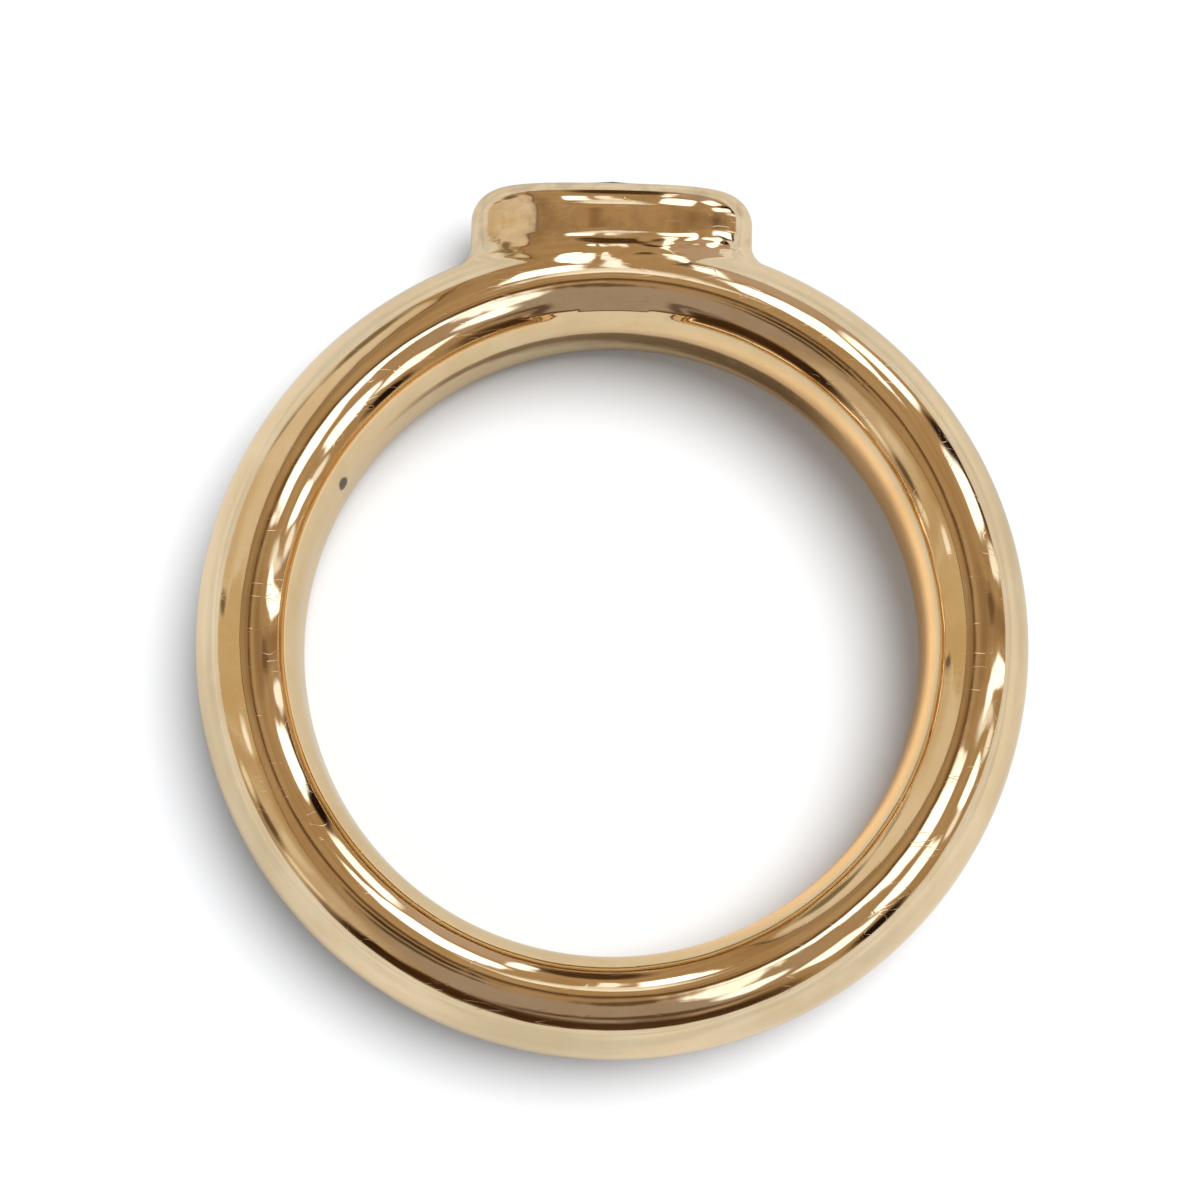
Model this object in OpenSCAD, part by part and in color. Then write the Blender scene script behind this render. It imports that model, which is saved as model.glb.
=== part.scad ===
// Bezel-set gold ring with one oval green stone, lying on its side.
// The finger hole runs along Z, and the head with its stone points towards +Y.

/* [Finger hole] */
// Inner diameter of the ring, which sets its finger size
finger_d = 17.0; // [15.5:0.1:20]
// Depth by which the round hole cuts into the oval section
hole_trim = 0.31; // [0.28:0.01:0.34]

/* [Shank] */
// Radial thickness of the shank at the head
shank_t_head = 2.84; // [2.7:0.01:2.95]
// Radial thickness of the shank at its sides
shank_t_side = 2.89; // [2.7:0.01:2.95]
// Radial thickness of the shank at its back
shank_t_back = 2.78; // [2.7:0.01:2.95]
// Width of the shank along the finger
shank_w = 5.45; // [5.3:0.05:5.6]
// Shift of the section's widest line towards the finger
ridge_in = 0.09; // [0:0.01:0.12]

/* [Bezel] */
// Length of the bezel around the ring
bezel_l = 7.8; // [7.7:0.02:8]
// Width of the bezel along the finger
bezel_w = 4.44; // [4.38:0.02:4.6]
// Exponent of the bezel's outline: 2 is an oval, higher is squarer
bezel_n = 2.6; // [2.4:0.1:3]
// Height of the bezel's rim above the finger's centre
bezel_top = 12.6; // [12.56:0.02:12.7]
// Radius of the rim's rounded edge
rim_r = 0.88; // [0.7:0.02:0.92]
// Lean of the head towards +X, in degrees
head_lean = 1.2; // [0:0.1:2]

/* [Stone] */
// Length of the stone at its girdle
stone_l = 6.7; // [6.6:0.02:6.8]
// Width of the stone at its girdle
stone_w = 3.34; // [3.3:0.01:3.4]
// Size of the table as a share of the girdle
table_f = 0.58; // [0.55:0.01:0.6]
// Height of the table above the rim
table_up = 0.16; // [0.14:0.01:0.2]
// Slope of the crown across the stone, in degrees
crown_deg = 34; // [32:1:36]
// Slope of the pavilion across the stone, in degrees
pavilion_deg = 42; // [40:1:44]
// Thickness of the girdle
girdle_t = 0.12; // [0.08:0.01:0.14]
// Gap between the stone and its seat
seat_gap = 0.04; // [0.03:0.005:0.05]
// Width of the lip that is pushed over the stone's edge
lip_over = 0.2; // [0.16:0.01:0.24]

/* [Fineness] */
// Sections around the shank
sections = 72; // [48:4:96]
// Steps over the outer half of one section of the shank
outer_steps = 12; // [10:2:16]
// Steps over each inner quarter of one section of the shank
inner_steps = 5; // [3:1:6]
// Corners of the bezel's and the seat's outlines
outline_corners = 64; // [48:4:80]

/* [Hidden] */

finger_r = finger_d / 2;
half_w = shank_w / 2;

// A thickness that runs smoothly from head to side to back, by the angle from the head
function along(head, side, back, a) =
    side + (head - back) / 2 * cos(a) + ((head + back) / 2 - side) * pow(cos(a), 2);

// The section is two half ovals, an outer and an inner one, that meet on its ridge
function shank_t(a) = along(shank_t_head, shank_t_side, shank_t_back, a);
function outer_t(a) = (shank_t(a) + hole_trim) / 2 + ridge_in;
function inner_t(a) = (shank_t(a) + hole_trim) / 2 - ridge_in;
function ridge_r(a) = finger_r - hole_trim + inner_t(a);

// Angles round one section, from the wall of the finger hole over the outside and back
wall_z = 1.75;
core_z = 1.3;
core_in = 0.2;
start_deg = asin(wall_z / half_w);
section_deg = concat(
    [for (i = [0 : inner_steps]) start_deg + (90 - start_deg) * i / inner_steps],
    [for (i = [1 : outer_steps - 1]) 90 + 180 * i / outer_steps],
    [for (i = [inner_steps : -1 : 0]) 360 - start_deg - (90 - start_deg) * i / inner_steps]);

// One section as [distance from the axis, height], with two corners inside the finger hole
function section(a) = concat(
    [[finger_r - core_in, -core_z], [finger_r - core_in, core_z]],
    [for (t = section_deg)
        [ridge_r(a) - (cos(t) > 0 ? inner_t(a) : outer_t(a)) * cos(t), half_w * sin(t)]]);

// An angle from the head (+Y) turns towards +X
function place(p, a) = [p[0] * sin(a), p[0] * cos(a), p[1]];

corners = len(section_deg) + 2;
shank_points = [for (i = [0 : sections - 1]) let (a = 360 * i / sections)
    for (p = section(a)) place(p, a)];
function at(i, j) = (i % sections) * corners + (j % corners);
shank_faces = [for (i = [0 : sections - 1]) for (j = [0 : corners - 1])
    each [[at(i, j), at(i + 1, j + 1), at(i + 1, j)],
          [at(i, j), at(i, j + 1), at(i + 1, j + 1)]]];

// A point of a rounded outline with half sizes a and b, at parameter angle t
function signed_pow(v, e) = (v < 0 ? -1 : 1) * pow(abs(v), e);
function outline(a, b, n, t) = [a * signed_pow(cos(t), 2 / n), b * signed_pow(sin(t), 2 / n)];

// A closed solid through level outlines, each row [inset, height], from bottom to top
INSET = 0;
HEIGHT = 1;
function stack_points(rows, a, b, n, m) = [for (v = rows) for (i = [0 : m - 1])
    let (p = outline(a - v[INSET], b - v[INSET], n, 360 * i / m)) [p[0], p[1], v[HEIGHT]]];
function stack_faces(count, m) = concat(
    [[for (i = [0 : m - 1]) i]],
    [for (k = [0 : count - 2]) for (i = [0 : m - 1]) let (j = (i + 1) % m) each
        [[k * m + i, (k + 1) * m + i, (k + 1) * m + j], [k * m + i, (k + 1) * m + j, k * m + j]]],
    [[for (i = [m - 1 : -1 : 0]) (count - 1) * m + i]]);
module stack(rows, a, b, n, m) {
    polyhedron(points = stack_points(rows, a, b, n, m),
               faces = stack_faces(len(rows), m), convexity = 4);
}

// The cup starts inside the shank and ends in a rounded rim
cup_foot = 9.6;
rim_step = 15;
cup_rows = concat([[0, cup_foot]],
    [for (t = [0 : rim_step : 90])
        [rim_r * (1 - cos(t)), bezel_top - rim_r * (1 - sin(t))]]);

// Levels of the stone, as heights above the finger's centre
stone_a = stone_l / 2;
stone_b = stone_w / 2;
table_top = bezel_top + table_up;
girdle_top = table_top - (1 - table_f) * stone_b * tan(crown_deg);
girdle_low = girdle_top - girdle_t;
culet = girdle_low - stone_b * tan(pavilion_deg);

// The seat follows the stone one gap away, closes over its edge, then opens to the rim
lip_rise = (seat_gap + lip_over) * tan(crown_deg);
mouth_in = 0.13;
seat_rows = [
    [0.5, culet - 0.1],
    [0.5, girdle_low - 0.58],
    [-seat_gap, girdle_low - seat_gap],
    [-seat_gap, girdle_top + seat_gap],
    [lip_over, girdle_top + seat_gap + lip_rise],
    [mouth_in, bezel_top + 0.01],
    [mouth_in, bezel_top + 1]];

// The stone is an oval brilliant: rows [share of the girdle, height, first angle, corners]
HALF_STEP = 22.5;
half_f = 0.23;
star_f = (table_f * cos(HALF_STEP) + 1) / 2;
star_h = girdle_top + (1 - star_f * cos(HALF_STEP)) * stone_b * tan(crown_deg);
half_h = girdle_low - (1 - half_f * cos(HALF_STEP)) * stone_b * tan(pavilion_deg);
stone_rows = [
    [table_f, table_top, 0, 8],
    [star_f, star_h, HALF_STEP, 8],
    [1, girdle_top, 0, 16],
    [1, girdle_low, 0, 16],
    [half_f, half_h, HALF_STEP, 8],
    [0, culet, 0, 1]];
stone_points = [for (r = stone_rows) for (i = [0 : r[3] - 1]) let (t = r[2] + 360 * i / r[3])
    [stone_a * r[0] * cos(t), stone_b * r[0] * sin(t), r[1]]];
function table_i(i) = i % 8;
function star_i(i) = 8 + i % 8;
function top_i(i) = 16 + i % 16;
function low_i(i) = 32 + i % 16;
function half_i(i) = 48 + i % 8;
culet_i = 56;
stone_faces = concat(
    [[for (i = [7 : -1 : 0]) table_i(i)]],
    [for (i = [0 : 7]) each [
        [table_i(i), table_i(i + 1), star_i(i)],
        [table_i(i), star_i(i), top_i(2 * i), star_i(i + 7)],
        [star_i(i), top_i(2 * i + 1), top_i(2 * i)],
        [star_i(i), top_i(2 * i + 2), top_i(2 * i + 1)],
        [half_i(i), low_i(2 * i), low_i(2 * i + 1)],
        [half_i(i), low_i(2 * i + 1), low_i(2 * i + 2)],
        [culet_i, half_i(i + 7), low_i(2 * i), half_i(i)]]],
    [for (i = [0 : 15]) [low_i(i), top_i(i), top_i(i + 1), low_i(i + 1)]]);

// The head leans about a point a little above the shank's outer line
pivot = 11.5;

// How far the leaning table and the back of the shank reach along Y
front_y = pivot + (table_top - pivot) * cos(head_lean) + table_f * stone_a * sin(head_lean);
back_y = -(finger_r + shank_t(180));

// Lays the ring on the edge of its shank, with the middle of its length over the origin
module laid_down() {
    translate([0, -(front_y + back_y) / 2, half_w]) children();
}

// Turns a solid built up along Z into one that points out of the head, along +Y
module on_head() {
    translate([0, pivot, 0]) rotate([0, 0, -head_lean]) translate([0, -pivot, 0])
        rotate([-90, 0, 0]) children();
}

module shank() {
    polyhedron(points = shank_points, faces = shank_faces, convexity = 6);
}

module bezel_cup() {
    on_head() stack(cup_rows, bezel_l / 2, bezel_w / 2, bezel_n, outline_corners);
}

module seat() {
    on_head() stack(seat_rows, stone_a, stone_b, 2, outline_corners);
}

// Shank and bezel are soldered into one piece
module gold_ring() {
    color("#d8a877") laid_down() difference() {
        union() {
            shank();
            bezel_cup();
        }
        cylinder(h = 20, r = finger_r, center = true, $fn = 128);
        seat();
    }
}

module peridot() {
    color("#93a93c") laid_down() on_head()
        polyhedron(points = stone_points, faces = stone_faces, convexity = 2);
}

gold_ring();
peridot();
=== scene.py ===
import math
import bpy
import numpy as np
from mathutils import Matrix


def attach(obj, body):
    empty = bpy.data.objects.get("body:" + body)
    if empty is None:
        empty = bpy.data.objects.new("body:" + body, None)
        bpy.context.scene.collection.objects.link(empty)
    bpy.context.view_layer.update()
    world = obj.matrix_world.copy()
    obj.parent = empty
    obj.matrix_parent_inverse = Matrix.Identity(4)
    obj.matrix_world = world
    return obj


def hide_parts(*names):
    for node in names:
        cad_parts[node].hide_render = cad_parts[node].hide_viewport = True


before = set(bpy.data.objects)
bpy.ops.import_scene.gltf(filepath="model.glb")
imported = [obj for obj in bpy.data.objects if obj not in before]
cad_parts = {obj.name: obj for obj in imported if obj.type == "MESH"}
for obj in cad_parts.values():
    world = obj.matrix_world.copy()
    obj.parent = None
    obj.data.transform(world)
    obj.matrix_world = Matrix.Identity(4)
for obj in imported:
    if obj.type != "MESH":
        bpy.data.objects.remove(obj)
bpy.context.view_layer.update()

# ---------------------------------------------------------------- sizes, in mm, in the ring's own frame
# Finger axis along Z, head towards +Y, origin in the middle of the finger hole.
FINGER_R = 8.5
HOLE_TRIM = 0.31
RIDGE_IN = 0.09
T_HEAD, T_SIDE, T_BACK = 2.84, 2.89, 2.78
HALF_W = 2.725
BEZEL_A, BEZEL_B, BEZEL_N = 3.9, 2.22, 2.6
BEZEL_TOP, RIM_R = 12.6, 0.88
LEAN = math.radians(1.2)
PIVOT = 11.5
FILLET = 0.42
HOLE_EDGE = 0.3
LIP_EDGE = 0.11
STONE_A, STONE_B = 3.35, 1.67
TABLE_F, CROWN, PAVILION = 0.58, math.radians(34), math.radians(42)
TABLE_TOP = 12.76
GIRDLE_TOP = TABLE_TOP - (1 - TABLE_F) * STONE_B * math.tan(CROWN)
GIRDLE_LOW = GIRDLE_TOP - 0.12
CULET = GIRDLE_LOW - STONE_B * math.tan(PAVILION)
GAP, LIP = 0.04, 0.2
SEAT_H = [CULET - 0.1, GIRDLE_LOW - 0.58, GIRDLE_LOW - GAP, GIRDLE_TOP + GAP,
          GIRDLE_TOP + GAP + (GAP + LIP) * math.tan(CROWN), BEZEL_TOP + 0.01, 14.0]
SEAT_IN = [0.5, 0.5, -GAP, -GAP, LIP, 0.13, 0.13]

FRONT_Y = PIVOT + (TABLE_TOP - PIVOT) * math.cos(LEAN) + TABLE_F * STONE_A * math.sin(LEAN)
BACK_Y = -(FINGER_R + T_BACK)
Y0 = -(FRONT_Y + BACK_Y) / 2


def to_row(p):
    """mm in the ring's frame to metres in the row frame."""
    return (np.asarray(p, float) + np.array([0, Y0, HALF_W])) * 1e-3


# ---------------------------------------------------------------- the gold, as one smooth implicit solid
def along(c):
    return T_SIDE + (T_HEAD - T_BACK) / 2 * c + ((T_HEAD + T_BACK) / 2 - T_SIDE) * c * c


def both(a, b, r):
    """Where a and b are both inside, with an edge rounded to r."""
    return np.minimum(-r, np.maximum(a, b)) + np.hypot(np.maximum(r + a, 0), np.maximum(r + b, 0))


def either(a, b, r):
    """Where a or b is inside, with a corner filled to r."""
    return np.maximum(r, np.minimum(a, b)) - np.hypot(np.maximum(r - a, 0), np.maximum(r - b, 0))


def ellipse(u, v, a, b):
    k0 = np.sqrt((u / a) ** 2 + (v / b) ** 2) + 1e-12
    k1 = np.sqrt((u / a ** 2) ** 2 + (v / b ** 2) ** 2) + 1e-12
    return k0 * (k0 - 1) / k1


def superoval(x, z):
    u, w = np.abs(x / BEZEL_A) + 1e-7, np.abs(z / BEZEL_B) + 1e-7
    g = (u ** BEZEL_N + w ** BEZEL_N) ** (1 / BEZEL_N)
    gu = (u / g) ** (BEZEL_N - 1) / BEZEL_A
    gw = (w / g) ** (BEZEL_N - 1) / BEZEL_B
    return (g - 1) / np.maximum(np.hypot(gu, gw), 1 / BEZEL_A)


def solid(p):
    x, y, z = p[..., 0], p[..., 1], p[..., 2]
    R = np.hypot(x, y)
    t = along(y / np.maximum(R, 1e-9))
    ridge = FINGER_R + t / 2 - RIDGE_IN - HOLE_TRIM / 2
    q = R - ridge
    a = np.where(q > 0, t / 2 + RIDGE_IN + HOLE_TRIM / 2, t / 2 - RIDGE_IN + HOLE_TRIM / 2)
    band = ellipse(q, z, a, HALF_W)
    xl = x * math.cos(LEAN) - (y - PIVOT) * math.sin(LEAN)
    yl = x * math.sin(LEAN) + (y - PIVOT) * math.cos(LEAN) + PIVOT
    cup = both(superoval(xl, z), yl - BEZEL_TOP, RIM_R)
    f = either(band, np.maximum(cup, 9.0 - y), FILLET)
    f = both(f, FINGER_R - R, HOLE_EDGE)
    inset = np.interp(yl, SEAT_H, SEAT_IN)
    seat = np.maximum(ellipse(xl, z, STONE_A - inset, STONE_B - inset), SEAT_H[0] - yl)
    return both(f, -seat, LIP_EDGE)


def slope(p, e=2e-4):
    g = np.empty_like(p)
    for i in range(3):
        d = np.zeros(3)
        d[i] = e
        g[:, i] = (solid(p + d) - solid(p - d)) / (2 * e)
    return g


def steps(*stretches):
    """Grid lines through stretches of (from, to, how many)."""
    out = [np.linspace(a, b, n, endpoint=False) for a, b, n in stretches]
    return np.concatenate(out + [[stretches[-1][1]]])


def gold_mesh():
    half = steps((0, 20, 62), (20, 26, 13), (26, 34, 11), (34, 180, 130))
    turn = np.radians(np.concatenate([half, -half[-2:0:-1]]))
    rad = steps((8.42, 11.1, 24), (11.1, 13.12, 31))
    up = steps((-2.79, -2.3, 6), (-2.3, -1.1, 16), (-1.1, 1.1, 22), (1.1, 2.3, 16), (2.3, 2.79, 6))
    ni, nj, nk = len(turn), len(rad), len(up)

    def place(i, j, k):
        """Fractional grid indices to mm."""
        two = np.concatenate([turn, [turn[0] + 2 * math.pi]])
        two = np.unwrap(two)
        a = np.interp(i, np.arange(ni + 1), two)
        r = np.interp(j, np.arange(nj), rad)
        z = np.interp(k, np.arange(nk), up)
        return np.stack([r * np.sin(a), r * np.cos(a), z], -1)

    I, J, K = np.meshgrid(np.arange(ni), np.arange(nj), np.arange(nk), indexing="ij")
    F = solid(place(I.ravel(), J.ravel(), K.ravel())).reshape(ni, nj, nk)
    W = np.concatenate([F, F[:1]], 0)
    corner = {(a, b, c): W[a:ni + a, b:nj - 1 + b, c:nk - 1 + c] for a in (0, 1) for b in (0, 1) for c in (0, 1)}
    inside = sum((v < 0).astype(int) for v in corner.values())
    mixed = (inside > 0) & (inside < 8)
    ci, cj, ck = np.nonzero(mixed)
    val = {key: v[mixed] for key, v in corner.items()}
    total, count = np.zeros((len(ci), 3)), np.zeros(len(ci))
    for key, fa in val.items():
        for axis in range(3):
            if key[axis]:
                continue
            other = tuple(1 if n == axis else v for n, v in enumerate(key))
            fb = val[other]
            cut = (fa < 0) != (fb < 0)
            t = np.where(cut, fa / np.where(cut, fa - fb, 1), 0)
            at = np.array(key, float)[None] + np.eye(3)[axis][None] * t[:, None]
            total += at * cut[:, None]
            count += cut
    mid = total / count[:, None]
    p = place(ci + mid[:, 0], cj + mid[:, 1], ck + mid[:, 2])
    for _ in range(6):
        g = slope(p)
        step = (solid(p) / np.maximum((g * g).sum(1), 0.2))[:, None] * g
        size = np.linalg.norm(step, axis=1, keepdims=True)
        p = p - step * np.minimum(1, 0.06 / np.maximum(size, 1e-12))
    ids = -np.ones((ni, nj - 1, nk - 1), int)
    ids[mixed] = np.arange(len(ci))
    S = F < 0
    quads = []
    # a quad round each grid line whose two ends differ
    nxt = np.roll(S, -1, 0)
    i, j, k = np.nonzero((S != nxt)[:, 1:-1, 1:-1])
    j, k = j + 1, k + 1
    quads.append(np.stack([ids[i, j - 1, k - 1], ids[i, j, k - 1], ids[i, j, k], ids[i, j - 1, k]], 1))
    i, j, k = np.nonzero((S[:, :-1] != S[:, 1:])[:, :, 1:-1])
    k = k + 1
    quads.append(np.stack([ids[i - 1, j, k - 1], ids[i, j, k - 1], ids[i, j, k], ids[i - 1, j, k]], 1))
    i, j, k = np.nonzero((S[:, :, :-1] != S[:, :, 1:])[:, 1:-1])
    j = j + 1
    quads.append(np.stack([ids[i - 1, j - 1, k], ids[i, j - 1, k], ids[i, j, k], ids[i - 1, j, k]], 1))
    quads = np.concatenate(quads)
    n = slope(p)
    n /= np.linalg.norm(n, axis=1, keepdims=True)
    face = np.cross(p[quads[:, 2]] - p[quads[:, 0]], p[quads[:, 3]] - p[quads[:, 1]])
    back = (face * n[quads].mean(1)).sum(1) < 0
    quads[back] = quads[back][:, ::-1]
    return p, n, quads


def new_object(name, points, faces, normals=None):
    mesh = bpy.data.meshes.new(name)
    mesh.from_pydata([tuple(v) for v in points], [], [tuple(int(i) for i in f) for f in faces])
    mesh.validate()
    if normals is not None:
        mesh.polygons.foreach_set("use_smooth", [True] * len(mesh.polygons))
        mesh.normals_split_custom_set_from_vertices([tuple(v) for v in normals])
    obj = bpy.data.objects.new(name, mesh)
    bpy.context.scene.collection.objects.link(obj)
    return obj


points, normals, quads = gold_mesh()
gold = new_object("gold_body", to_row(points), quads, normals)
print("gold body", len(points), "points", len(quads), "faces")


# ---------------------------------------------------------------- the stone: an oval brilliant, one gap inside its seat
def stone_mesh():
    half_step = math.radians(22.5)
    half_f = 0.23
    star_f = (TABLE_F * math.cos(half_step) + 1) / 2
    star_h = GIRDLE_TOP + (1 - star_f * math.cos(half_step)) * STONE_B * math.tan(CROWN)
    half_h = GIRDLE_LOW - (1 - half_f * math.cos(half_step)) * STONE_B * math.tan(PAVILION)
    rows = [(TABLE_F, TABLE_TOP, 0, 8), (star_f, star_h, half_step, 8), (1, GIRDLE_TOP, 0, 16),
            (1, GIRDLE_LOW, 0, 16), (half_f, half_h, half_step, 8), (0, CULET, 0, 1)]
    pts = []
    for share, height, first, count in rows:
        for i in range(count):
            t = first + 2 * math.pi * i / count
            pts.append((STONE_A * share * math.cos(t), height, STONE_B * share * math.sin(t)))
    p = np.array(pts)
    x, y = p[:, 0].copy(), p[:, 1] - PIVOT
    p[:, 0] = x * math.cos(LEAN) + y * math.sin(LEAN)
    p[:, 1] = -x * math.sin(LEAN) + y * math.cos(LEAN) + PIVOT
    table, star, top = (lambda i: i % 8), (lambda i: 8 + i % 8), (lambda i: 16 + i % 16)
    low, half, culet = (lambda i: 32 + i % 16), (lambda i: 48 + i % 8), 56
    faces = [[table(i) for i in range(8)]]
    for i in range(8):
        faces += [[table(i), table(i + 1), star(i)], [table(i), star(i), top(2 * i), star(i + 7)],
                  [star(i), top(2 * i + 1), top(2 * i)], [star(i), top(2 * i + 2), top(2 * i + 1)],
                  [half(i), low(2 * i), low(2 * i + 1)], [half(i), low(2 * i + 1), low(2 * i + 2)],
                  [culet, half(i + 7), low(2 * i), half(i)]]
    faces += [[low(i), top(i), top(i + 1), low(i + 1)] for i in range(16)]
    middle = p.mean(0)
    out = []
    for f in faces:
        q = p[f]
        n = np.cross(q[1] - q[0], q[2] - q[0])
        out.append(f if n @ (q.mean(0) - middle) > 0 else f[::-1])
    return p, out


points, faces = stone_mesh()
stone = new_object("stone", to_row(points), faces)


# ---------------------------------------------------------------- node helpers
class Nodes:
    def __init__(self, tree):
        self.tree = tree
        tree.nodes.clear()

    def add(self, kind, **settings):
        node = self.tree.nodes.new(kind)
        for k, v in settings.items():
            setattr(node, k, v)
        return node

    def put(self, socket, value):
        if isinstance(value, bpy.types.NodeSocket):
            self.tree.links.new(value, socket)
        else:
            socket.default_value = value

    def math(self, op, a, b=0.0, c=0.0, clamp=False):
        node = self.add("ShaderNodeMath", operation=op, use_clamp=clamp)
        for s, v in zip(node.inputs, (a, b, c)):
            self.put(s, v)
        return node.outputs[0]

    def vmath(self, op, a, b=None, scale=None):
        node = self.add("ShaderNodeVectorMath", operation=op)
        self.put(node.inputs[0], a)
        if b is not None:
            self.put(node.inputs[1], b)
        if scale is not None:
            self.put(node.inputs["Scale"], scale)
        return node.outputs["Value"] if op in ("LENGTH", "DOT_PRODUCT") else node.outputs[0]

    def ramp(self, value, lo, hi, out_lo=0.0, out_hi=1.0, smooth=True):
        node = self.add("ShaderNodeMapRange", interpolation_type="SMOOTHSTEP" if smooth else "LINEAR")
        for s, v in zip(node.inputs, (value, lo, hi, out_lo, out_hi)):
            self.put(s, v)
        return node.outputs[0]

    def noise(self, vector, scale, detail=2.0, rough=0.5, distort=0.0, dims="3D"):
        node = self.add("ShaderNodeTexNoise", noise_dimensions=dims)
        self.put(node.inputs["Vector"], vector)
        node.inputs["Scale"].default_value = scale
        node.inputs["Detail"].default_value = detail
        node.inputs["Roughness"].default_value = rough
        node.inputs["Distortion"].default_value = distort
        return node

    def mapping(self, vector, loc=(0, 0, 0), rot=(0, 0, 0), scale=(1, 1, 1), kind="POINT"):
        node = self.add("ShaderNodeMapping", vector_type=kind)
        self.put(node.inputs["Vector"], vector)
        node.inputs["Location"].default_value = loc
        node.inputs["Rotation"].default_value = rot
        node.inputs["Scale"].default_value = scale
        return node.outputs[0]

    def mix(self, factor, a, b, blend="MIX"):
        node = self.add("ShaderNodeMix", data_type="RGBA", blend_type=blend)
        self.put(node.inputs[0], factor)
        self.put(node.inputs[6], a)
        self.put(node.inputs[7], b)
        return node.outputs[2]


def material(name):
    m = bpy.data.materials.new(name)
    m.use_nodes = True
    return m, Nodes(m.node_tree)


# ---------------------------------------------------------------- polished gold
def gold_material():
    m, n = material("polished_gold")
    out = n.add("ShaderNodeOutputMaterial")
    bsdf = n.add("ShaderNodeBsdfPrincipled")
    n.put(out.inputs["Surface"], bsdf.outputs[0])
    bsdf.inputs["Metallic"].default_value = 1.0
    bsdf.inputs["Specular Tint"].default_value = (0.95, 0.88, 0.78, 1)
    bsdf.inputs["Specular IOR Level"].default_value = 0.1
    coord = n.add("ShaderNodeTexCoord").outputs["Object"]
    mm = n.vmath("SCALE", coord, scale=1000.0)
    own = n.vmath("SUBTRACT", mm, (0.0, Y0, HALF_W))
    cut = n.add("ShaderNodeSeparateXYZ")
    n.put(cut.inputs[0], own)
    # slow change of tone over the metal
    tone = n.noise(mm, 0.5, 4.0, 0.65).outputs[0]
    colour = n.mix(n.ramp(tone, 0.35, 0.65), (0.845, 0.655, 0.410, 1), (0.905, 0.725, 0.490, 1))
    # tiny pits and rubbed specks
    specks = n.noise(mm, 6.0, 2.0, 0.6).outputs[0]
    colour = n.mix(n.ramp(specks, 0.70, 0.80, 0.0, 0.35), colour, (0.70, 0.50, 0.30, 1))
    # the bezel is cloudier than the band
    cup = n.math("MULTIPLY", n.ramp(cut.outputs[1], 10.7, 11.2), n.ramp(n.math("ABSOLUTE", cut.outputs[0]), 3.9, 4.3, 1.0, 0.0))
    smear = n.noise(mm, 1.7, 4.0, 0.6).outputs[0]
    clouded = n.math("MULTIPLY", cup, n.ramp(smear, 0.42, 0.66, 0.0, 0.75))
    colour = n.mix(clouded, colour, (0.66, 0.50, 0.33, 1))
    # a nick in the wall of the finger hole
    nick = n.vmath("LENGTH", n.vmath("MULTIPLY", n.vmath("SUBTRACT", own, (-7.36, 4.36, 0.9)), (4.0, 5.0, 1.7)))
    nick = n.ramp(nick, 0.7, 1.1, 1.0, 0.0)
    colour = n.mix(nick, colour, (0.085, 0.042, 0.018, 1))
    n.put(bsdf.inputs["Metallic"], n.math("SUBTRACT", 1.0, nick))
    n.put(bsdf.inputs["Base Color"], colour)
    cloud = n.noise(mm, 0.9, 4.0, 0.6).outputs[0]
    rough = n.ramp(cloud, 0.35, 0.75, 0.035, 0.095)
    rough = n.math("ADD", rough, n.math("MULTIPLY", clouded, 0.05))
    rough = n.math("ADD", rough, n.math("MULTIPLY", nick, 0.3))
    n.put(bsdf.inputs["Roughness"], rough)
    # fine wear scratches: thin lines where a stretched noise crosses its middle value
    height = None
    worn = n.noise(mm, 0.9, 1.0).outputs[0]
    for turn, tilt, scale, depth, none, full in ((0.4, 0.3, 2.6, 1.0, 0.53, 0.68), (1.9, -0.4, 3.1, 0.8, 0.47, 0.32)):
        v = n.mapping(mm, rot=(tilt, 0.3 * tilt, turn), scale=(0.12, 1.0, 1.0))
        line = n.noise(v, scale, 1.0, 0.4).outputs[0]
        thin = n.math("ABSOLUTE", n.math("SUBTRACT", line, 0.5))
        thin = n.ramp(thin, 0.0, 0.010, 1.0, 0.0)
        one = n.math("MULTIPLY", n.math("MULTIPLY", thin, n.ramp(worn, none, full)), -depth)
        height = one if height is None else n.math("ADD", height, one)
    bump = n.add("ShaderNodeBump")
    bump.inputs["Strength"].default_value = 0.22
    bump.inputs["Distance"].default_value = 0.000004
    n.put(bump.inputs["Height"], height)
    # the gentle waviness and the fine polishing lines of the surface, drawn out along the ring
    across = n.vmath("LENGTH", n.vmath("MULTIPLY", own, (1.0, 1.0, 0.0)))
    round_it = n.vmath("NORMALIZE", n.vmath("MULTIPLY", own, (1.0, 1.0, 0.0)))
    drawn = n.add("ShaderNodeCombineXYZ")
    n.put(drawn.inputs[2], n.math("ADD", across, n.math("MULTIPLY", cut.outputs[2], 0.25)))
    drawn = n.vmath("ADD", n.vmath("MULTIPLY", round_it, (1.9, 1.9, 0.0)), drawn.outputs[0])
    wave = n.noise(drawn, 0.9, 2.0, 0.5).outputs[0]
    lines = n.noise(n.vmath("MULTIPLY", drawn, (2.0, 2.0, 5.0)), 1.0, 1.0, 0.5).outputs[0]
    wave = n.math("ADD", wave, n.math("MULTIPLY", lines, 0.10))
    dimples = n.noise(mm, 1.1, 1.0, 0.5).outputs[0]
    wave = n.math("ADD", wave, n.math("MULTIPLY", dimples, 0.45))
    bump2 = n.add("ShaderNodeBump")
    bump2.inputs["Strength"].default_value = 1.0
    bump2.inputs["Distance"].default_value = 0.000016
    n.put(bump2.inputs["Height"], wave)
    n.put(bump2.inputs["Normal"], bump.outputs[0])
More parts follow.
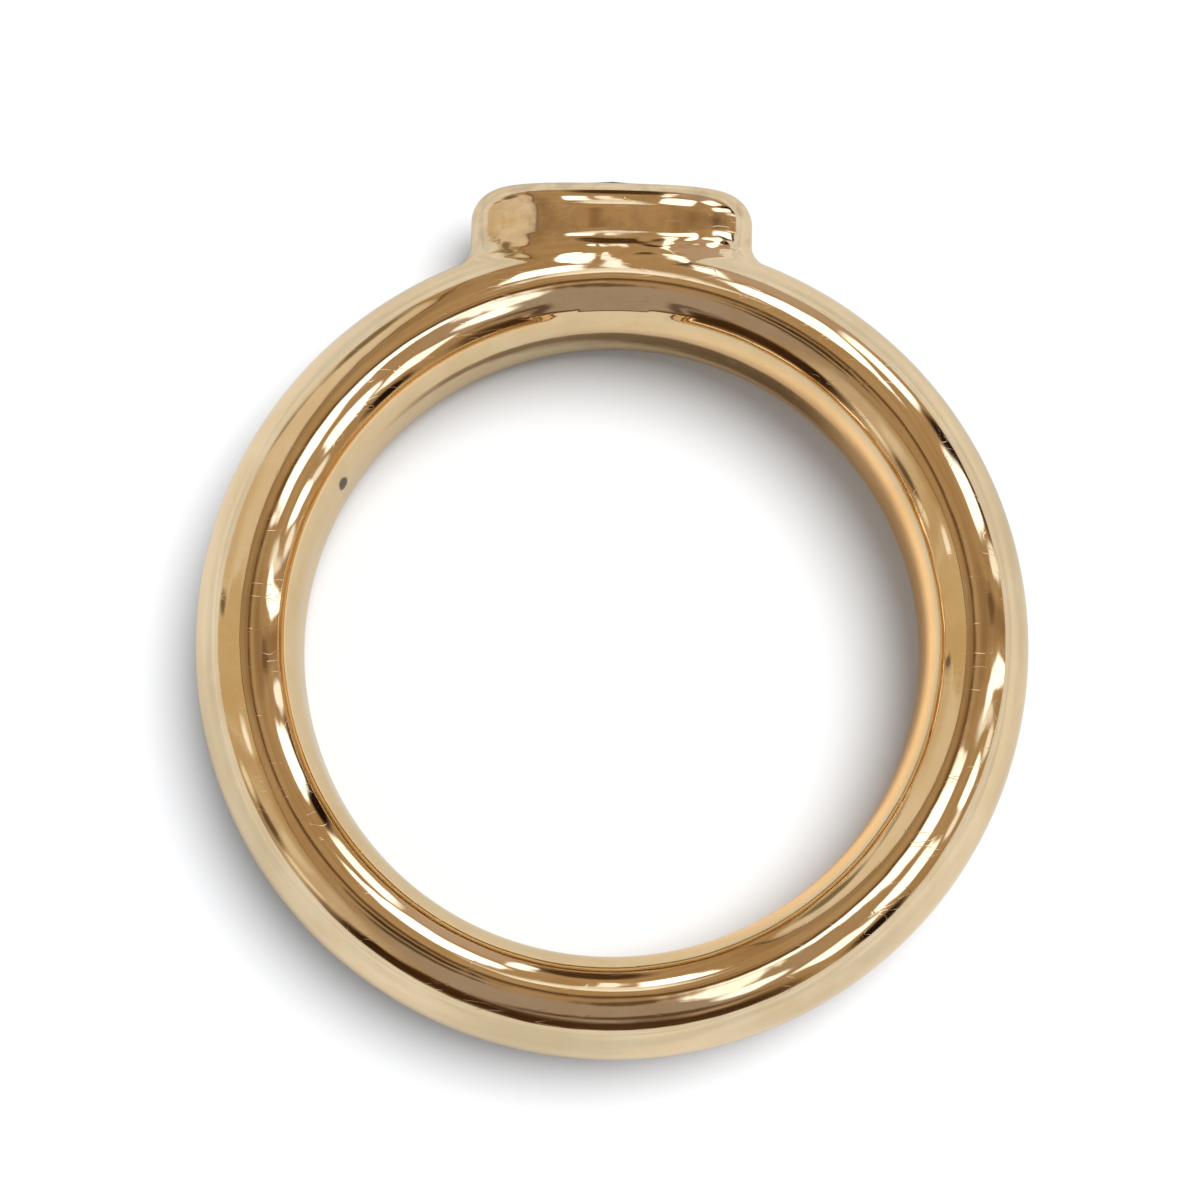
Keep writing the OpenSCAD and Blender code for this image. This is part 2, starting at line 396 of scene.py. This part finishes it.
    # the uneven solder where the bezel meets the band
    side = n.math("ABSOLUTE", cut.outputs[0])
    seam = n.math("SUBTRACT", cut.outputs[1], n.ramp(side, 1.6, 3.0, 10.55, 10.75))
    seam = n.ramp(n.math("ABSOLUTE", seam), 0.10, 0.50, 1.0, 0.0)
    seam = n.math("MULTIPLY", seam, n.ramp(side, 3.9, 4.4, 1.0, 0.0))
    seam = n.math("MULTIPLY", seam, n.ramp(n.math("ABSOLUTE", cut.outputs[2]), 0.8, 1.3))
    lumps = n.noise(n.mapping(mm, scale=(0.4, 1.5, 1.0)), 1.5, 1.0, 0.5, 0.3).outputs[0]
    bump3 = n.add("ShaderNodeBump")
    bump3.inputs["Strength"].default_value = 1.0
    bump3.inputs["Distance"].default_value = 0.00009
    n.put(bump3.inputs["Height"], n.math("MULTIPLY", lumps, seam))
    n.put(bump3.inputs["Normal"], bump2.outputs[0])
    n.put(bsdf.inputs["Normal"], bump3.outputs[0])
    return m


# ---------------------------------------------------------------- peridot
def stone_material():
    m, n = material("clear_peridot")
    out = n.add("ShaderNodeOutputMaterial")
    bsdf = n.add("ShaderNodeBsdfPrincipled")
    n.put(out.inputs["Surface"], bsdf.outputs[0])
    bsdf.inputs["Transmission Weight"].default_value = 1.0
    bsdf.inputs["IOR"].default_value = 1.67
    coord = n.add("ShaderNodeTexCoord").outputs["Object"]
    mm = n.vmath("SCALE", coord, scale=1000.0)
    zone = n.noise(mm, 0.7, 3.0).outputs[0]
    n.put(bsdf.inputs["Base Color"], n.mix(n.ramp(zone, 0.3, 0.7), (0.42, 0.60, 0.07, 1), (0.56, 0.72, 0.14, 1)))
    polish = n.noise(mm, 5.0, 2.0).outputs[0]
    n.put(bsdf.inputs["Roughness"], n.ramp(polish, 0.5, 0.8, 0.0, 0.03))
    return m


gold.data.materials.append(gold_material())
stone.data.materials.append(stone_material())
for piece, node, slot in ((gold, "gold_ring", "gold"), (stone, "peridot", "peridot")):
    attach(piece, "root")
    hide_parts(node)


# ---------------------------------------------------------------- floor
def floor_material():
    m, n = material("pale_floor")
    out = n.add("ShaderNodeOutputMaterial")
    diffuse = n.add("ShaderNodeBsdfDiffuse")
    path = n.add("ShaderNodeLightPath")
    # a painted shadow: a darker streak of floor, just inside the head of the ring, seen only in the gold's reflection
    place = n.vmath("SUBTRACT", n.vmath("SCALE", n.add("ShaderNodeTexCoord").outputs["Object"], scale=1000.0), (0.4, Y0, 0.0))
    away = n.vmath("LENGTH", n.vmath("MULTIPLY", place, (1.0, 1.0, 0.0)))
    reflected_shadow_streak = n.ramp(n.math("ABSOLUTE", n.math("SUBTRACT", away, 7.65)), 0.20, 0.45, 1.0, 0.0)
    cut = n.add("ShaderNodeSeparateXYZ")
    n.put(cut.inputs[0], place)
    reflected_shadow_streak = n.math("MULTIPLY", reflected_shadow_streak, n.ramp(cut.outputs[1], 5.0, 6.8, 0.0, 0.80))
    # painted reflection: the gold alone sees a patchy floor, and painted warm light on the floor inside the finger
    # hole, brighter towards +X
    reflected_patches = n.ramp(n.noise(place, 0.07, 2.0).outputs[0], 0.35, 0.65)
    mirrored = n.mix(reflected_patches, (0.54, 0.545, 0.53, 1), (0.68, 0.67, 0.645, 1))
    painted_warm_light = n.mix(n.ramp(cut.outputs[0], -2.0, 7.0), (0.58, 0.565, 0.51, 1), (0.90, 0.70, 0.47, 1))
    mirrored = n.mix(n.ramp(away, 8.4, 9.4, 1.0, 0.0), mirrored, painted_warm_light)
    # painted shadow in the reflection: the streak darkens the floor that the gold mirrors
    mirrored = n.mix(reflected_shadow_streak, mirrored, (0.13, 0.09, 0.05, 1))
    n.put(diffuse.inputs["Color"], n.mix(path.outputs["Is Glossy Ray"], (0.83, 0.83, 0.83, 1), mirrored))
    n.put(out.inputs["Surface"], diffuse.outputs[0])
    return m


SIDE = 0.9
floor = new_object("floor", [(-SIDE, -SIDE, 0), (SIDE, -SIDE, 0), (SIDE, SIDE, 0), (-SIDE, SIDE, 0)], [(0, 1, 2, 3)])
floor.data.materials.append(floor_material())

# ---------------------------------------------------------------- what the polished gold mirrors
# Each row: [x, y, half length, half width, turn, softness, colour, weight, corner], where x and y are
# degrees away from straight up, towards +X and towards +Y.
COLOURS = {
    "lamp": (1.9, 2.05, 2.3, 1), "glow": (1.2, 1.25, 1.3, 1), "tan": (0.76, 0.67, 0.54, 1),
    "dark": (0.062, 0.030, 0.012, 1), "black": (0.015, 0.008, 0.004, 1), "umber": (0.20, 0.115, 0.055, 1),
    "grey": (0.36, 0.31, 0.28, 1), "pink": (0.52, 0.42, 0.36, 1), "brown": (0.43, 0.30, 0.17, 1),
    "olive": (0.16, 0.125, 0.06, 1), "cream": (0.92, 0.86, 0.72, 1), "honey": (0.60, 0.47, 0.28, 1),
}
X, Y, HALF_L, HALF_B, TURN, SOFT, COLOUR, WEIGHT, CORNER = range(9)
MIRRORED = [
    [-68, 34, 41, 44, 0, 0.05, "tan", 1.0, "box"],
    [-74, 4, 47, 11, 0, 0.12, "honey", 1.0, "box"],
    [-86, 30, 22, 24, 0, 0.50, "honey", 0.6, "oval"],
    [-66, -12, 36, 12, 0, 0.30, "honey", 0.65, "oval"],
    [-27.6, 32, 0.9, 42, 0, 0.40, "dark", 0.65, "box"],
    [-55, -36, 24, 20, 30, 0.30, "tan", 0.50, "oval"],
    [-25, 38, 6, 36, 0, 0.50, "umber", 0.35, "oval"],
    [-4, -46, 30, 30, 0, 0.40, "grey", 0.85, "oval"],
    [34, 72, 20, 14, -20, 0.40, "pink", 0.80, "oval"],
    [-46, 66, 11, 7, 40, 0.45, "olive", 0.90, "oval"],
    [-64, 54, 8, 4, 30, 0.50, "olive", 0.55, "oval"],
    [-80, 18, 8, 2.5, -10, 0.50, "dark", 0.80, "oval"],
    [4, 79, 13, 11, 0, 0.35, "dark", 0.95, "oval"],
    [-40, -66, 30, 11, -25, 0.40, "dark", 0.95, "oval"],
    [-50, -62, 11, 9, -30, 0.40, "black", 1.0, "oval"],
    [-28, -74, 16, 6, -20, 0.50, "black", 0.80, "oval"],
    [6, -81, 44, 10, 4, 0.40, "dark", 0.95, "oval"],
    [10, -70, 7, 9, 20, 0.50, "dark", 0.50, "oval"],
    [32, -74, 12, 8, 25, 0.50, "dark", 0.80, "oval"],
    [-71, -30, 7, 6, 50, 0.50, "dark", 0.85, "oval"],
    [3, -59, 24, 4, 0, 0.50, "dark", 0.80, "oval"],
    [-30, -70, 34, 10, -18, 0.40, "dark", 0.70, "oval"],
    [61, -56, 9, 8, 45, 0.40, "black", 1.0, "oval"],
    [67, 47, 13, 7.5, 15, 0.35, "black", 1.0, "oval"],
    [79, 39, 10, 7.5, -45, 0.45, "dark", 0.95, "oval"],
    [52, 12, 9, 2.6, 6, 0.50, "dark", 0.75, "oval"],
    [72, 11, 20, 3.5, 4, 0.60, "umber", 0.55, "oval"],
    [34, 9, 14, 5, 4, 0.60, "umber", 0.50, "oval"],
    [-6, 6, 9, 4, 0, 0.60, "umber", 0.50, "oval"],
    [0, 0, 8, 5, 0, 0.60, "umber", 0.35, "oval"],
    [0, 5, 5, 4.5, 0, 0.60, "dark", 0.70, "oval"],
    [1, 31, 8, 3.5, 0, 0.40, "glow", 0.85, "oval"],
    [-3, 14, 1.6, 1.4, 0, 0.60, "umber", 0.70, "oval"],
    [-9, -6, 5.5, 3, 50, 0.45, "black", 0.90, "oval"],
    [-15, -18, 6.0, 3.5, 20, 0.50, "black", 0.75, "oval"],
    [0, -15, 2.2, 7, 0, 0.50, "dark", 0.80, "oval"],
    [1, 38, 6, 4, 0, 0.35, "glow", 0.65, "box"],
    [22, 44, 8.5, 12, -8, 0.14, "lamp", 1.0, "box"],
    [-7, 49, 4.5, 9, 0, 0.14, "lamp", 1.0, "box"],
    [1, 51, 1.2, 7, 0, 0.30, "lamp", 0.6, "box"],
    [8, 49, 4.5, 10, 0, 0.30, "brown", 0.8, "box"],
    [16, 70, 2.2, 9, -10, 0.35, "lamp", 0.8, "box"],
    [46, 54, 9, 9, -40, 0.22, "lamp", 0.9, "box"],
    [60, 33, 13, 6.5, 20, 0.22, "lamp", 1.0, "box"],
    [77, 24, 10, 4, 12, 0.30, "glow", 0.95, "oval"],
    [70, 1, 21, 3, 3, 0.22, "lamp", 0.95, "box"],
    [58, -5, 16, 2.2, -8, 0.50, "glow", 0.7, "oval"],
    [18, -5, 14, 6, -18, 0.22, "lamp", 1.0, "box"],
    [9, -22, 3.2, 15, 16, 0.30, "lamp", 0.75, "oval"],
    [19, -41, 4.5, 9, 25, 0.30, "lamp", 0.85, "oval"],
    [48, -31, 11, 6.5, -30, 0.20, "lamp", 1.0, "box"],
    [40, -47, 8, 7, -25, 0.25, "lamp", 0.85, "box"],
    [67, -20, 8, 4.5, -20, 0.25, "lamp", 0.95, "box"],
    [79, -13, 7, 4, -10, 0.40, "glow", 0.85, "oval"],
    [69, -29, 6, 3.5, -25, 0.40, "glow", 0.80, "oval"],
    [-46, -5, 7, 2.5, 6, 0.45, "glow", 0.80, "oval"],
    [-77, -21, 6, 4, 10, 0.40, "cream", 0.95, "oval"],
    [-66, -43, 7, 4, -20, 0.40, "cream", 0.85, "oval"],
    [-52, -28, 9, 4, 30, 0.50, "cream", 0.45, "oval"],
]

world = bpy.data.worlds.new("studio")
bpy.context.scene.world = world
world.use_nodes = True
w = Nodes(world.node_tree)
w_out = w.add("ShaderNodeOutputWorld")
ray = w.vmath("NORMALIZE", w.add("ShaderNodeTexCoord").outputs["Generated"])
parts = w.add("ShaderNodeSeparateXYZ")
w.put(parts.inputs[0], ray)
level = w.math("SQRT", w.math("ADD", w.math("MULTIPLY", parts.outputs[0], parts.outputs[0]),
                              w.math("MULTIPLY", parts.outputs[1], parts.outputs[1])))
angle = w.math("MULTIPLY", w.math("ARCTAN2", level, parts.outputs[2]), 180 / math.pi)
per = w.math("DIVIDE", angle, w.math("MAXIMUM", level, 1e-5))
flat = w.add("ShaderNodeCombineXYZ")
w.put(flat.inputs[0], w.math("MULTIPLY", parts.outputs[0], per))
w.put(flat.inputs[1], w.math("MULTIPLY", parts.outputs[1], per))
wobble = w.noise(ray, 3.0, 1.0).outputs["Color"]
wobble = w.vmath("MULTIPLY", w.vmath("SUBTRACT", wobble, (0.5, 0.5, 0.5)), (7.0, 7.0, 0.0))
sky = w.vmath("ADD", flat.outputs[0], wobble)
mottle = w.noise(ray, 5.0, 4.0, 0.6).outputs[0]
colour = w.mix(w.ramp(mottle, 0.3, 0.7), (0.39, 0.265, 0.145, 1), (0.47, 0.335, 0.195, 1))
for row in MIRRORED:
    v = w.mapping(sky, (row[X], row[Y], 0), (0, 0, math.radians(row[TURN])), (row[HALF_L], row[HALF_B], 1), "TEXTURE")
    s = row[SOFT]
    if row[CORNER] == "box":
        v = w.vmath("MULTIPLY", v, v)
        mask = w.ramp(w.vmath("DOT_PRODUCT", v, v), (1 + s) ** 4, (1 - s) ** 4, 0.0, row[WEIGHT])
    else:
        mask = w.ramp(w.vmath("LENGTH", v), 1 + s, 1 - s, 0.0, row[WEIGHT])
    colour = w.mix(mask, colour, COLOURS[row[COLOUR]])
colour = w.mix(w.ramp(angle, 88, 92), colour, (0.76, 0.76, 0.77, 1))
path = w.add("ShaderNodeLightPath")
plain = w.add("ShaderNodeBackground")
around = w.mix(path.outputs["Is Camera Ray"], (0.385, 0.405, 0.44, 1), (0.985, 0.985, 0.985, 1))
w.put(plain.inputs["Color"], w.mix(path.outputs["Is Glossy Ray"], around, (0.42, 0.49, 0.62, 1)))
mirror = w.add("ShaderNodeBackground")
w.put(mirror.inputs["Color"], colour)
choice = w.add("ShaderNodeMixShader")
# light that reaches the floor by way of the gold is plain too
direct = w.math("LESS_THAN", path.outputs["Diffuse Depth"], 0.5)
w.put(choice.inputs[0], w.math("MULTIPLY", path.outputs["Is Glossy Ray"], direct))
w.put(choice.inputs[1], plain.outputs[0])
w.put(choice.inputs[2], mirror.outputs[0])
w.put(w_out.inputs["Surface"], choice.outputs[0])
world.cycles.sampling_method = "NONE"

key_data = bpy.data.lights.new("key", "SUN")
key_data.energy = 3.0
key_data.angle = math.radians(31)
key = bpy.data.objects.new("key", key_data)
bpy.context.scene.collection.objects.link(key)
key.rotation_euler = (math.radians(-9.5), math.radians(15.5), 0)
key.visible_glossy = False

# ---------------------------------------------------------------- camera
DISTANCE = 92.0
VIEW = math.radians(6.65)
cam_data = bpy.data.cameras.new("camera")
cam_data.sensor_fit = "HORIZONTAL"
cam_data.sensor_width = 36.0
cam_data.lens = 36.0 * DISTANCE / 32.88
cam_data.shift_x = -0.00972
cam_data.shift_y = 0.03817
cam_data.clip_start = 0.002
cam_data.clip_end = 10.0
cam = bpy.data.objects.new("camera", cam_data)
bpy.context.scene.collection.objects.link(cam)
cam.location = tuple(to_row((0, -DISTANCE * math.sin(VIEW), DISTANCE * math.cos(VIEW))))
cam.rotation_euler = (VIEW, 0, 0)
bpy.context.scene.camera = cam

view = bpy.context.scene.view_settings
view.view_transform = "Standard"
view.look = "None"
view.exposure = 0.0
view.gamma = 1.0
